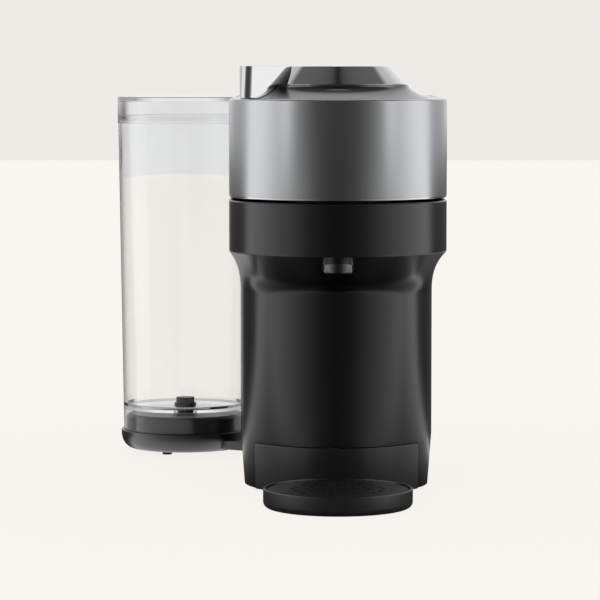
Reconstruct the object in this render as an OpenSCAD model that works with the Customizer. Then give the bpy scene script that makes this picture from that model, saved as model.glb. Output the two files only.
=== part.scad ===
// Pod coffee machine: a long housing with a round overhanging brew head, a hinged lid with a
// turning lock lever, a pull-out drip base and a round water tank on an arm that swings.
// Millimetres. +Z is up and -Y is the front. The origin lies on the counter, straight below the
// coffee outlet, at the middle of the drip base.

/* [Head] */
// Radius of the head's round front, half of the machine's width
head_r = 70; // [68:0.5:74]
// Distance from the cup's axis back to the capsule's axis
head_y = 23; // [21:0.5:25]
// Thickness of the head's walls
head_wall = 2.6; // [2.2:0.1:3]
// Height of the head's underside above the counter
band_bottom = 163; // [158:1:170]
// Height of the black lower band
band_h = 33.2; // [31:0.2:36]
// Shadow gap between the band and the lid
seam = 1.6; // [1.2:0.1:2]
// Height of the metal lid
lid_h = 63.2; // [62:0.2:70]
// Distance from the capsule's axis back to the lid's rear face
lid_back = 81; // [79:1:86]
// Height of the bright lip round the lid's lower edge
lip_h = 1.5; // [1:0.1:2]

/* [Hinge] */
// Radius of the hinge knuckles
knuckle_r = 5; // [4.5:0.1:5.5]
// Radius of the hinge pin
pin_r = 2.5; // [2:0.1:3]
// Half length of the middle knuckle
knuckle_mid = 20; // [16:1:22]
// Half distance over the lid's two knuckles
knuckle_lid = 48; // [44:1:50]
// Half length of the whole hinge
knuckle_end = 62; // [58:1:64]

/* [Lever and button] */
// Radius of the flared collar where it meets the lid
collar_foot_r = 58.5; // [57:0.5:60]
// Radius of the flared collar at its top
collar_top_r = 45; // [44.5:0.1:46]
// Height of the flared collar
collar_h = 8.7; // [7.5:0.1:10]
// Radius of the knob at its base
knob_base_r = 44.6; // [43.5:0.1:44.6]
// Radius of the knob at its top
knob_top_r = 33.5; // [32:0.5:35]
// Height of the knob
knob_h = 12; // [10:0.5:14]
// Distance from the knob's axis to the lever's outer end
lever_reach = 62.5; // [60:0.2:63]
// Half the angle between the lever's two sides
lever_angle = 29.5; // [24:0.5:30]
// Radius of the lever's outer corners
lever_corner = 4.9; // [3.5:0.1:6]
// Radius of the start button
button_r = 20; // [18:0.5:21]
// Travel of the start button
button_travel = 1.2; // [0.8:0.1:1.6]

/* [Column] */
// Radius of the column's round front and back
col_r = 64.2; // [63:0.2:65]
// Radius of the column at its foot
col_foot_r = 61.6; // [61:0.2:62.4]
// Height at which the column's foot starts to narrow
foot_taper = 36; // [34:1:42]
// Distance from the cup's axis back to the column
cup_space = 46; // [46:0.5:49]
// Distance from the cup's axis back to the centre of the round rear
rear_y = 228; // [226:1:240]
// Height of the flare that joins the column to the head
flare_h = 31.5; // [29:0.5:34]
// How late the flare opens: 1 is a straight cone, more is a sharper curve
flare_power = 2.2; // [1.9:0.1:2.5]
// Thickness of the column's walls
wall = 2.5; // [2.2:0.1:3]
// Height of the rubber feet
foot_h = 1.5; // [1.2:0.1:2]

/* [Drip base] */
// Radius of the round cup support
tray_r = 48; // [46:0.5:49]
// Height of the cup support's rim
tray_h = 12.6; // [12:0.2:15]
// Radius of the cup support's lower edge
tray_edge = 4; // [3:0.5:5]
// Thickness of the cup support's wall and floor
tray_wall = 2.2; // [1.8:0.1:2.6]
// Half width of the part that pushes into the column
insert_half = 54; // [50:1:55]
// Height of the part that pushes into the column
insert_h = 32; // [28:1:33]
// Depth of the part that pushes into the column
insert_depth = 52; // [46:1:54]
// Thickness of the perforated cup grid
grid_t = 2; // [1.6:0.1:2.4]
// Radius of the grid's drain holes
drain_r = 2.1; // [1.6:0.1:2.4]

/* [Water tank] */
// Radius of the tank at its foot
tank_foot_r = 44.8; // [44.6:0.1:46]
// Radius of the tank at its top
tank_top_r = 48.2; // [47.5:0.1:50]
// Thickness of the tank's wall
tank_wall = 2; // [1.8:0.1:2.4]
// Height of the tank's rim above the counter
tank_rim_z = 245.9; // [230:1:250]
// Height of the tank's floor above the counter
tank_floor_z = 34.5; // [34:0.5:38]
// Height of the tank's lid
tank_lid_h = 13.6; // [12:0.2:15]
// Space between the head's rear and the tank
tank_gap = 9.3; // [8:0.5:14]
// Angle of the tank to the left of straight back
swing = 57.87; // [50:0.5:62]
// Width of the swinging arm
arm_w = 30; // [26:1:34]
// Radius of the dish that the tank stands in
dish_r = 46.7; // [46.6:0.1:48]
// Radius of the plinth inside the tank's skirt
plinth_r = 42.9; // [42:0.1:43]
// Radius of the arm's pivot post
post_r = 8; // [7:0.5:9]

/* [Brewing unit] */
// Radius of the capsule holder's cup
cup_r = 29; // [28:0.5:30]
// Depth of the capsule holder's cup
cup_depth = 20; // [18:0.5:21]
// Radius of the coffee collector
collector_r = 46; // [44:0.5:48]
// Radius of the rotor's shaft
shaft_r = 6; // [5:0.5:6.5]
// Radius of the rotor's pulley
pulley_r = 10.5; // [9.5:0.1:10.6]
// Radius of the motor's pulley
motor_pulley_r = 7.5; // [6.5:0.1:8]
// Distance from the capsule's axis back to the motor's axis
belt_span = 72; // [68:1:76]
// Radius of the drive motor
motor_r = 21; // [18:1:22]
// Height of the drive motor
motor_h = 36; // [30:1:40]
// Radius of the coffee outlet
spout_r = 9.9; // [9:0.1:11]
// Length of the coffee outlet below the head
spout_drop = 13.4; // [12:0.2:14]

/* [Water system] */
// Radius of the pump
pump_r = 17; // [15:0.5:18]
// Height of the pump
pump_h = 62; // [55:1:66]
// Radius of the heater
heater_r = 23; // [20:0.5:24]
// Height of the heater
heater_h = 60; // [50:1:66]
// Radius of the flow meter
meter_r = 12; // [10:0.5:13]
// Outer radius of the hoses
hose_r = 3.2; // [2.8:0.1:3.6]

/* [Hidden] */
$fn = 96;

// clearances and small common sizes
run = 0.05;          // a shaft in its bore
gap = 0.3;           // between two parts that must pass each other
eps = 0.02;          // how far a cutter reaches past the face it cuts
edge = 0.8;          // small chamfers on moulded edges

// heights
band_top = band_bottom + band_h;
lid_bottom = band_top + seam;
lid_top = lid_bottom + lid_h;
collar_top = lid_top + collar_h;
knob_top = collar_top + knob_h;
flare_z = band_bottom - flare_h;
floor_t = 2.5;                                 // the head's floor and the base plate
floor_top = band_bottom + floor_t;
plate_top = foot_h + floor_t;

// lengths along Y
col_y = cup_space + col_r;                     // centre of the column's round front
split_y = col_y + 4;                           // joint between the front and rear housings
lid_rear = head_y + lid_back;
hinge_gap = 1;
hinge_y = lid_rear + hinge_gap + knuckle_r;
hinge_z = lid_top - knuckle_r - 0.5;
cover_step = hinge_y + knuckle_r + hinge_gap;  // front of the rear cover above the hinge's step
step_z = hinge_z - knuckle_r - 2;

// the tank, its arm and its dish
tank_lid_r = tank_top_r + 0.4;
arm_len = head_r + tank_gap + tank_lid_r;
arm_z = plate_top + 1.3;
arm_t = 6.5;
deck_z = arm_z + arm_t + 3;
deck_t = 2.5;
deck_top = deck_z + deck_t;
dish_z = foot_h + 3.3;
dish_t = 2.5;
dish_rim_z = 17;
dish_corner = 8.7;
plinth_z = 12;                                 // where the plinth widens above the dish's curve
plinth_top = 29;
window_half = asin((arm_w / 2 + 2) / col_foot_r);

// the drive
motor_y = head_y + belt_span;
pulley_t = 6;
pulley_z = band_bottom - 0.8 - pulley_t;
bearing_r = shaft_r + 5;
bearing_t = 7;
belt_t = 1.3;
belt_run = 0.12;
bracket_t = 2.5;
bracket_z = pulley_z - 1.6 - bracket_t;
bracket_half = 46;

// the brewing unit
holder_rim = band_top + 0.6;                   // top face of the capsule holder
holder_flange = cup_r + 4.5;
holder_t = 2;
collector_floor = floor_top + 0.4;
liner_z = lid_bottom + 1.4;
liner_t = 2.5;
plate_z = holder_rim + 1.5;                    // underside of the injection plate
inject_r = 31;
housing_z = liner_z + liner_t;
plate_t = housing_z - plate_z - 0.6;
housing_r = 26;
housing_h = 30;
tower_z = housing_z + housing_h;
tower_r = 31;
tower_top = knob_top - 6.5;
sleeve_r = 40;
ring_z = lid_top - head_wall - 12;
light_t = 2;

// the cup grid
grid_r = tray_r - tray_wall - 0.6;
grid_z = tray_h - 1 - grid_t;
well_r = tray_r - tray_wall;

// ---------------------------------------------------------------- shared shapes

// a 2D profile in (radius, height), swept round the front half at y0 and straight back to y1
module front_sweep(y0, y1) {
  translate([0, y0, 0]) rotate([0, 0, 180]) rotate_extrude(angle = 180) children();
  for (s = [0, 1]) mirror([s, 0, 0])
    translate([0, y1, 0]) rotate([90, 0, 0]) linear_extrude(y1 - y0) children();
}

// the same profile swept straight from y0 to y1 and round the rear half at y1
module rear_sweep(y0, y1) {
  translate([0, y1, 0]) rotate_extrude(angle = 180) children();
  for (s = [0, 1]) mirror([s, 0, 0])
    translate([0, y1, 0]) rotate([90, 0, 0]) linear_extrude(y1 - y0) children();
}

// outline with a round front at y0 and a flat back at y1
module round_front(r, y0, y1) {
  translate([0, y0]) intersection() {
    circle(r);
    translate([-r, -r]) square([2 * r, r]);
  }
  translate([-r, y0]) square([2 * r, y1 - y0]);
}

// outline with a flat front at y0 and a round back at y1
module round_rear(r, y0, y1) {
  translate([0, y1]) intersection() {
    circle(r);
    translate([-r, 0]) square([2 * r, r]);
  }
  translate([-r, y0]) square([2 * r, y1 - y0]);
}

// a flat slab of a child outline between two heights
module slab(z0, z1) translate([0, 0, z0]) linear_extrude(z1 - z0) children();

// an upright tube from z0 to z1
module tube(r_out, r_in, z0, z1) difference() {
  translate([0, 0, z0]) cylinder(h = z1 - z0, r = r_out);
  translate([0, 0, z0 - eps]) cylinder(h = z1 - z0 + 2 * eps, r = r_in);
}

// a closed skin over rings of points that all run the same way round
module skin(rings) {
  n = len(rings[0]);
  m = len(rings);
  polyhedron(
    points = [for (ring = rings) each ring],
    faces = concat(
      [[for (i = [n - 1:-1:0]) i]],
      [[for (i = [0:n - 1]) (m - 1) * n + i]],
      [for (j = [0:m - 2]) for (i = [0:n - 1])
        [j * n + i, j * n + (i + 1) % n, (j + 1) * n + (i + 1) % n, (j + 1) * n + i]]));
}

// how far the flare has opened at a height, from 0 at the column to 1 at the head
function opened(z) = pow(min(1, max(0, (z - flare_z) / flare_h)), flare_power);
function flare_r(z) = col_r + (head_r - col_r) * opened(z);
function flare_y(z) = col_y + (head_y - col_y) * opened(z);

// a U of points: straight, round the front, and straight back again
function u_points(r, y0, y1, z, n) = concat(
  [[r, y1, z]],
  [for (i = [0:n]) [r * cos(180 * i / n), y0 - r * sin(180 * i / n), z]],
  [[-r, y1, z]]);
function reversed(list) = [for (i = [len(list) - 1:-1:0]) list[i]];

module at_capsule() translate([0, head_y, 0]) children();
module at_motor() translate([0, motor_y, 0]) children();
module at_pivot() translate([0, rear_y, 0]) children();
module at_tank() at_pivot() rotate([0, 0, swing]) translate([0, arm_len, 0]) children();

// ---------------------------------------------------------------- housings

flare_steps = 9;
flare_sides = 44;
lift = 2;            // thickness of the flare's ceiling, measured straight up

// one level of the flare's wall: the outer U and, inside it, the U of the ceiling's upper side
function flare_ring(z) = concat(
  u_points(flare_r(z), flare_y(z), split_y, z, flare_sides),
  reversed(u_points(flare_r(z - lift) - wall, flare_y(z - lift), split_y, z, flare_sides)));

// one level of the straight wall below the flare
function wall_ring(r, z) = concat(
  u_points(r, col_y, split_y, z, flare_sides),
  reversed(u_points(r - wall, col_y, split_y, z, flare_sides)));

module column_front() color([0.17, 0.17, 0.18]) difference() {
  skin(concat(
    [wall_ring(col_foot_r, foot_h), wall_ring(col_r, foot_taper)],
    [for (i = [0:flare_steps]) flare_ring(flare_z + flare_h * i / flare_steps)]));
  translate([-insert_half - gap, 0, 0])
    cube([2 * (insert_half + gap), split_y + 1, insert_h + gap]);
  translate([0, 0, flare_z]) cylinder(h = flare_h, r = spout_r + gap);
}

// the rear housing's wall, with the flare as a stack of short cones
module rear_profile() polygon(concat(
  [[col_foot_r - wall, foot_h], [col_foot_r, foot_h], [col_r, foot_taper]],
  [for (i = [0:flare_steps]) let (z = flare_z + flare_h * i / flare_steps) [flare_r(z), z]],
  [for (i = [flare_steps:-1:0]) let (z = flare_z + flare_h * i / flare_steps) [flare_r(z) - wall, z]],
  [[col_r - wall, foot_taper]]));

vent_w = 3;
vent_h = 26;
vent_count = 9;
vent_z = 92;
gland_r = 6;
gland_z = 26;
gland_x = 0;
module rear_y_face(x) translate([x, rear_y + col_r, 0]) children();

module column_rear() color([0.17, 0.17, 0.18]) difference() {
  rear_sweep(split_y, rear_y) rear_profile();
  // opening that the tank's arm swings through
  at_pivot() rotate([0, 0, 90 - swing - window_half])
    rotate_extrude(angle = 2 * (swing + window_half))
      translate([col_foot_r - 2 * wall, foot_h - 1]) square([3 * wall, arm_z + arm_t + 1 - foot_h + 1]);
  // vents in the back
  for (i = [0:vent_count - 1]) rear_y_face((i - (vent_count - 1) / 2) * 2 * vent_w)
    translate([-vent_w / 2, -col_r / 2, vent_z]) cube([vent_w, col_r, vent_h]);
  // hole for the mains lead
  translate([gland_x, rear_y, gland_z]) rotate([-90, 0, 0]) cylinder(h = col_r + 1, r = gland_r);
}

module cord_gland() color([0.08, 0.08, 0.09])
  translate([gland_x, rear_y + sqrt(pow(col_foot_r - wall, 2) - pow(gland_r + 2, 2)) - 3.6, gland_z])
    rotate([-90, 0, 0]) difference() {
      union() {
        cylinder(h = 15, r = gland_r - gap);
        cylinder(h = 3.4, r = gland_r + 2);
      }
      translate([0, 0, -1]) cylinder(h = 17, r = 3.4);
    }

screw_places = [[-42, 128], [42, 128], [-42, 188], [42, 188]];
boss_r = 4.5;
screw_r = 1.5;
module base_plate() color([0.10, 0.10, 0.11]) difference() {
  union() {
    slab(foot_h, plate_top) difference() {
      union() {
        round_rear(col_foot_r - wall - gap, split_y, rear_y);
        translate([-(col_foot_r - wall - gap), col_y - 2])
          square([2 * (col_foot_r - wall - gap), split_y - col_y + 2]);
      }
      translate([-insert_half - gap, 0]) square([2 * (insert_half + gap), col_y - 2]);
    }
    // the rim that shows under the arm's window
    at_pivot() rotate([0, 0, 90 - swing - window_half + 1])
      rotate_extrude(angle = 2 * (swing + window_half - 1))
        translate([col_foot_r - wall - 2, foot_h]) square([wall + 2, floor_t]);
    at_pivot() translate([0, 0, plate_top]) cylinder(h = deck_z - plate_top, r = post_r);
    for (p = screw_places) translate([p[0], p[1], plate_top])
      cylinder(h = deck_z - plate_top, r = boss_r);
  }
  at_pivot() translate([0, 0, foot_h - 1]) cylinder(h = deck_z, r = 3);
  for (p = screw_places) translate([p[0], p[1], foot_h - 1]) {
    cylinder(h = deck_z, r = screw_r);
    cylinder(h = 1 + 1.2, r = 3.2);
  }
}

module base_screws() color([0.6, 0.6, 0.62]) for (p = screw_places)
  translate([p[0], p[1], foot_h]) difference() {
    union() {
      cylinder(h = 1.2, r = 3);
      cylinder(h = deck_z - foot_h - 0.5, r = screw_r);
    }
    translate([0, 0, -1]) cylinder(h = 1.7, r = 1.3, $fn = 6);
  }

foot_places = [[-48, 134], [48, 134], [-40, 252], [40, 252]];
foot_r = 7;
module body_feet() color([0.06, 0.06, 0.06]) for (p = foot_places)
  translate([p[0], p[1], 0]) {
    cylinder(h = foot_h * 0.4, r1 = foot_r - 0.6, r2 = foot_r);
    translate([0, 0, foot_h * 0.4]) cylinder(h = foot_h * 0.6, r = foot_r);
  }

// profile of the black band, with its two small chamfers
module band_profile() polygon([
  [head_r - head_wall, band_bottom], [head_r - edge, band_bottom],
  [head_r, band_bottom + edge], [head_r, band_top - edge],
  [head_r - edge, band_top], [head_r - head_wall, band_top]]);

drain_tube_r = 5;
module head_band() color([0.14, 0.14, 0.15]) difference() {
  union() {
    front_sweep(head_y, split_y) band_profile();
    rear_sweep(split_y, rear_y) band_profile();
    slab(band_bottom, floor_top) union() {
      round_front(head_r - head_wall, head_y, split_y);
      round_rear(head_r - head_wall, split_y, rear_y);
    }
    at_capsule() translate([0, 0, floor_top])
      cylinder(h = band_bottom + bearing_t - floor_top, r = bearing_r + 2.5);
  }
  at_capsule() translate([0, 0, band_bottom - 1]) cylinder(h = bearing_t + 2, r = bearing_r);
  translate([0, 0, band_bottom - 1]) cylinder(h = floor_t + 2, r = drain_tube_r);
  // opening for hoses and wires behind the motor
  slab(band_bottom - 1, floor_top + 1) translate([-44, split_y + 20])
    square([88, rear_y - split_y + 10]);
}

module cover_profile() polygon([
  [head_r - head_wall - 1, band_top], [head_r - 2, band_top],
  [head_r - 2, lid_bottom], [head_r, lid_bottom],
  [head_r, lid_top - edge], [head_r - edge, lid_top], [head_r - head_wall - 1, lid_top]]);

module rear_cover() color([0.66, 0.67, 0.68]) difference() {
  union() {
    rear_sweep(lid_rear + 1, rear_y) cover_profile();
    slab(lid_top - head_wall, lid_top)
      round_rear(head_r - head_wall, cover_step, rear_y);
    // front wall, stepped back under the hinge
    slab(band_top, step_z) translate([-(head_r - head_wall), lid_rear + 1])
      square([2 * (head_r - head_wall), head_wall]);
    slab(step_z - head_wall, step_z) translate([-(head_r - head_wall), lid_rear + 1])
      square([2 * (head_r - head_wall), cover_step - lid_rear - 1 + head_wall]);
    slab(step_z - head_wall, lid_top) translate([-(head_r - head_wall), cover_step])
      square([2 * (head_r - head_wall), head_wall]);
    // fixed hinge knuckles and their webs
    for (k = [[-knuckle_mid, knuckle_mid], [knuckle_lid + gap, knuckle_end], [-knuckle_end, -knuckle_lid - gap]]) {
      translate([k[0], hinge_y, hinge_z]) rotate([0, 90, 0]) cylinder(h = k[1] - k[0], r = knuckle_r);
      translate([k[0], hinge_y, hinge_z - knuckle_r * 0.7])
        cube([k[1] - k[0], cover_step - hinge_y + eps, knuckle_r * 1.4]);
    }
  }
  // room over the hinge
  translate([-head_r - 1, lid_rear, step_z])
    difference() {
      cube([2 * head_r + 2, hinge_y + 3 - lid_rear, lid_top - step_z + 1]);
      translate([head_r + 1 - knuckle_end, -1, -1])
        cube([2 * knuckle_end, cover_step, lid_top]);
    }
  translate([-knuckle_end - 1, hinge_y, hinge_z]) rotate([0, 90, 0])
    cylinder(h = 2 * knuckle_end + 2, r = pin_r);
  // openings in the front wall for the lid's water hose
  translate([0, lid_rear, hose_exit_z]) rotate([-90, 0, 0]) cylinder(h = 6, r = hose_r + 1);
}

module hinge_pin() color([0.7, 0.7, 0.72])
  translate([-knuckle_end + 0.5, hinge_y, hinge_z]) rotate([0, 90, 0])
    cylinder(h = 2 * knuckle_end - 1, r = pin_r - run);

// ---------------------------------------------------------------- inner carriers and water system

module inner_deck() color([0.22, 0.22, 0.23]) difference() {
  slab(deck_z, deck_top) difference() {
    round_rear(col_foot_r - wall - 1, split_y + 2, rear_y);
    for (p = screw_places) translate([p[0], p[1]]) circle(screw_r);
  }
  at_pivot() translate([0, 0, deck_z - 1]) cylinder(h = deck_t + 2, r = 4);
}

pump_place = [-27, 158];
meter_place = [-28, 246];
heater_place = [22, 190];
port_r = 2.4;
port_h = 6;
pump_base = deck_top + 4;
pump_port = 8;

module pump_port_places() for (s = [-1, 1]) translate([0, s * pump_port, 0]) children();

module water_pump() color([0.55, 0.55, 0.57]) translate([pump_place[0], pump_place[1], 0]) {
  translate([0, 0, pump_base]) cylinder(h = pump_h * 0.35, r = pump_r * 0.78);
  translate([0, 0, pump_base + pump_h * 0.35]) cylinder(h = pump_h * 0.5, r = pump_r);
  translate([0, 0, pump_base + pump_h * 0.85]) cylinder(h = pump_h * 0.15, r = pump_r * 0.78);
  pump_port_places() translate([0, 0, pump_base + pump_h]) cylinder(h = port_h, r = port_r);
}

module pump_mounts() color([0.05, 0.05, 0.05]) translate([pump_place[0], pump_place[1], 0]) {
  translate([0, 0, deck_top]) cylinder(h = 4, r1 = pump_r, r2 = pump_r * 0.8);
  tube(pump_r, pump_r * 0.78, pump_base + 2, pump_base + 8);
}

module water_heater() color([0.72, 0.72, 0.74]) translate([heater_place[0], heater_place[1], 0]) {
  translate([0, 0, deck_top]) cylinder(h = heater_h, r = heater_r * 0.86);
  for (i = [0:5]) translate([0, 0, deck_top + 6 + i * (heater_h - 12) / 6])
    cylinder(h = 3.4, r = heater_r);
  for (s = [-1, 1]) translate([0, s * pump_port, deck_top + heater_h]) cylinder(h = port_h, r = port_r);
}

module flow_meter() color([0.85, 0.85, 0.82]) translate([meter_place[0], meter_place[1], 0]) {
  translate([0, 0, deck_top]) cylinder(h = 14, r = meter_r);
  translate([0, 0, deck_top + 14]) cylinder(h = port_h, r = port_r);
}

board_x = 53;
board_y = split_y + 6;
board_len = 84;
module control_board() color([0.05, 0.30, 0.12]) {
  translate([board_x, board_y, deck_top]) cube([1.6, board_len, 78]);
  for (i = [0:3]) translate([board_x - 5, board_y + 8 + i * 19, deck_top + 30]) cube([5, 12, 14]);
}

module power_board() color([0.05, 0.25, 0.12]) mirror([1, 0, 0]) {
  translate([board_x, board_y, deck_top]) cube([1.6, board_len, 70]);
  translate([board_x - 6, board_y + 56, deck_top + 12]) cube([6, 22, 26]);
  translate([board_x - 6, board_y + 60, deck_top + 48]) rotate([0, 90, 0]) cylinder(h = 6, r = 5);
}

// a clip round a hose, where a straight stretch meets a bend
module clip() translate([0, 0, -4]) cylinder(h = 8, r = hose_r + 0.8);

// a hose over the top between two ports: up, round and down
module hoop_hose(a, za, b, zb, top) {
  d = [b[0] - a[0], b[1] - a[1]];
  span = norm(d);
  translate([a[0], a[1], za]) cylinder(h = top - za, r = hose_r);
  translate([b[0], b[1], zb]) cylinder(h = top - zb, r = hose_r);
  for (p = [a, b]) translate([p[0], p[1], top]) clip();
  translate([(a[0] + b[0]) / 2, (a[1] + b[1]) / 2, top])
    rotate([0, 0, atan2(d[1], d[0])]) rotate([90, 0, 0])
      rotate_extrude(angle = 180) translate([span / 2, 0]) circle(hose_r);
}

hose_exit_z = band_top + 34;
hose_bend = 14;
module water_hoses() color([0.85, 0.86, 0.88]) {
  $fn = 28;
  meter_top = deck_top + 14 + port_h;
  pump_top = pump_base + pump_h + port_h;
  heater_top = deck_top + heater_h + port_h;
  hoop_hose(meter_place, meter_top, [pump_place[0], pump_place[1] + pump_port], pump_top, pump_top + 6);
  hoop_hose([pump_place[0], pump_place[1] - pump_port], pump_top,
    [heater_place[0], heater_place[1] - pump_port], heater_top, pump_top + 4);
  // up from the heater and forward to the wall behind the lid
  from = [heater_place[0], heater_place[1] + pump_port];
  d = [-from[0], lid_rear + 1 + head_wall - from[1]];
  translate([from[0], from[1], 0]) rotate([0, 0, atan2(d[1], d[0])]) {
    translate([0, 0, heater_top]) cylinder(h = hose_exit_z - hose_bend - heater_top, r = hose_r);
    translate([hose_bend, 0, hose_exit_z - hose_bend]) rotate([90, 0, 0]) rotate([0, 0, 90])
      rotate_extrude(angle = 90) translate([hose_bend, 0]) circle(hose_r);
    translate([hose_bend, 0, hose_exit_z]) rotate([0, 90, 0])
      cylinder(h = norm(d) - hose_bend, r = hose_r);
    translate([0, 0, hose_exit_z - hose_bend]) clip();
    translate([hose_bend, 0, hose_exit_z]) rotate([0, 90, 0]) clip();
  }
}

// ---------------------------------------------------------------- drive and brewing unit

motor_shaft_r = 2.5;
module drive_motor() color([0.35, 0.35, 0.37]) at_motor() {
  translate([0, 0, bracket_z - motor_h]) tube(motor_r, motor_shaft_r + 0.5, 0, motor_h);
  translate([0, 0, bracket_z]) tube(7, motor_shaft_r + run, 0, bracket_t);
}

module motor_bracket() color([0.62, 0.63, 0.65]) difference() {
  union() {
    slab(bracket_z, bracket_z + bracket_t) translate([-bracket_half, motor_y - 26])
      square([2 * bracket_half, 52]);
    for (x = [-1, 1]) for (y = [-20, 20])
      translate([x * (bracket_half - 6), motor_y + y, bracket_z + bracket_t])
        cylinder(h = band_bottom - bracket_z - bracket_t, r = 4);
  }
  at_motor() translate([0, 0, bracket_z - 1]) cylinder(h = bracket_t + 2, r = 7);
}

// 2D outline round two pulleys
module belt_outline(extra) {
  a = pulley_r + belt_run + extra;
  b = motor_pulley_r + belt_run + extra;
  lean = asin((a - b) / belt_span);
  translate([0, head_y]) circle(a);
  translate([0, motor_y]) circle(b);
  polygon([
    [a * cos(lean), head_y + a * sin(lean)], [b * cos(lean), motor_y + b * sin(lean)],
    [-b * cos(lean), motor_y + b * sin(lean)], [-a * cos(lean), head_y + a * sin(lean)]]);
}

module drive_belt() color([0.04, 0.04, 0.04])
  slab(pulley_z + 1, pulley_z + pulley_t - 1) difference() {
    belt_outline(belt_t);
    belt_outline(0);
  }

// a pulley with two thin flanges
module pulley(r, bore) difference() {
  union() {
    translate([0, 0, pulley_z]) cylinder(h = pulley_t, r = r);
    for (z = [pulley_z, pulley_z + pulley_t - 0.7]) translate([0, 0, z]) cylinder(h = 0.7, r = r + belt_t + 0.7);
  }
  translate([0, 0, pulley_z - 1]) cylinder(h = pulley_t + 2, r = bore);
}

module rotor_pulley() color([0.8, 0.8, 0.8]) at_capsule() pulley(pulley_r, shaft_r);

module motor_pulley() color([0.8, 0.8, 0.8]) at_motor() {
  pulley(motor_pulley_r, motor_shaft_r);
  translate([0, 0, bracket_z - motor_h + 2])
    cylinder(h = pulley_z + pulley_t - bracket_z + motor_h - 2, r = motor_shaft_r);
}

module rotor_bearing() color([0.75, 0.76, 0.78]) at_capsule()
  tube(bearing_r, shaft_r + run, band_bottom, band_bottom + bearing_t);

holder_bottom = holder_rim - cup_depth - holder_t;
module capsule_holder() color([0.25, 0.25, 0.26]) at_capsule() {
  rotate_extrude() polygon([
    [0, holder_bottom], [cup_r - 6, holder_bottom], [cup_r + holder_t, holder_rim - 3],
    [holder_flange, holder_rim - 3], [holder_flange, holder_rim], [cup_r, holder_rim],
    [cup_r - 6 - holder_t, holder_bottom + holder_t], [0, holder_bottom + holder_t]]);
  translate([0, 0, pulley_z]) cylinder(h = holder_bottom - pulley_z, r = shaft_r);
}

// still ring that catches the coffee thrown out by the spinning capsule
module coffee_collector() color([0.12, 0.12, 0.13]) difference() {
  union() {
    at_capsule() rotate_extrude() polygon([
      [bearing_r + 3, floor_top], [collector_r, floor_top], [collector_r, band_top - 1],
      [holder_flange + 1.2, band_top - 1], [holder_flange + 1.2, band_top - 3],
      [collector_r - 2, band_top - 3], [collector_r - 2, collector_floor + 2],
      [bearing_r + 5, collector_floor + 2], [bearing_r + 5, band_bottom + bearing_t],
      [bearing_r + 3, band_bottom + bearing_t]]);
  }
  translate([0, 0, floor_top - 1]) cylinder(h = 6, r = 3.5);
}

module coffee_spout() color([0.20, 0.20, 0.21]) difference() {
  union() {
    translate([0, 0, band_bottom - spout_drop + 2])
      cylinder(h = spout_drop - 2, r = spout_r);
    translate([0, 0, band_bottom - spout_drop]) cylinder(h = 2, r1 = spout_r - 2.4, r2 = spout_r);
    translate([0, 0, band_bottom]) cylinder(h = floor_t, r = drain_tube_r);
  }
  translate([0, 0, band_bottom - spout_drop - 1]) cylinder(h = spout_drop + floor_t + 2, r = 3.5);
}

// ---------------------------------------------------------------- lid

module lid_profile() polygon([
  [head_r - head_wall, lid_bottom], [head_r - 1.2, lid_bottom], [head_r - 1.2, lid_bottom + lip_h],
  [head_r, lid_bottom + lip_h], [head_r, lid_top - edge], [head_r - edge, lid_top],
  [head_r - head_wall, lid_top]]);

module lid_shell() color([0.66, 0.67, 0.68]) difference() {
  union() {
    front_sweep(head_y, lid_rear) lid_profile();
    difference() {
      slab(lid_top - head_wall, lid_top) round_front(head_r - head_wall, head_y, lid_rear);
      at_capsule() translate([0, 0, lid_top - head_wall - 1]) cylinder(h = head_wall + 2, r = collar_foot_r - 3);
    }
    slab(lid_bottom, lid_top) translate([-(head_r - head_wall), lid_rear - head_wall])
      square([2 * (head_r - head_wall), head_wall]);
    for (s = [-1, 1]) {
      x0 = s > 0 ? knuckle_mid + gap : -knuckle_lid;
      translate([x0, hinge_y, hinge_z]) rotate([0, 90, 0])
        cylinder(h = knuckle_lid - knuckle_mid - gap, r = knuckle_r);
      translate([x0, lid_rear - eps, hinge_z - knuckle_r * 0.7])
        cube([knuckle_lid - knuckle_mid - gap, hinge_y - lid_rear + eps, knuckle_r * 1.4]);
    }
  }
  translate([-knuckle_end, hinge_y, hinge_z]) rotate([0, 90, 0]) cylinder(h = 2 * knuckle_end, r = pin_r);
  translate([0, lid_rear - head_wall - 1, hose_exit_z]) rotate([-90, 0, 0]) cylinder(h = head_wall + 2, r = hose_r + 1);
}

module lid_lip() color([0.85, 0.86, 0.87]) front_sweep(head_y, lid_rear) polygon([
  [head_r - 1.2, lid_bottom], [head_r - 0.5, lid_bottom], [head_r, lid_bottom + 0.6],
  [head_r, lid_bottom + lip_h], [head_r - 1.2, lid_bottom + lip_h]]);

module lid_liner() color([0.10, 0.10, 0.11]) slab(liner_z, liner_z + liner_t) difference() {
  round_front(head_r - head_wall, head_y, lid_rear - head_wall);
  translate([0, head_y]) circle(inject_r + 1.2);
}

// flared ring between the lid's top and the knob
collar_t = 2;
function collar_r(k) = collar_top_r + (collar_foot_r - collar_top_r) * pow(1 - k, 1.8);
collar_steps = 8;
module collar_curve(out) polygon(concat(
  [for (i = [0:collar_steps]) [collar_r(i / collar_steps) + out, lid_top + collar_h * i / collar_steps]],
  [[sleeve_r + 1.4, collar_top], [sleeve_r + 1.4, collar_top - collar_t]],
  [for (i = [collar_steps - 1:-1:0])
    [max(sleeve_r + 1.6, collar_r(i / collar_steps) - 2 * collar_t), lid_top + (collar_h - collar_t) * i / collar_steps]]));

module lid_collar() color([0.42, 0.43, 0.44]) at_capsule() rotate_extrude() collar_curve(0);

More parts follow.
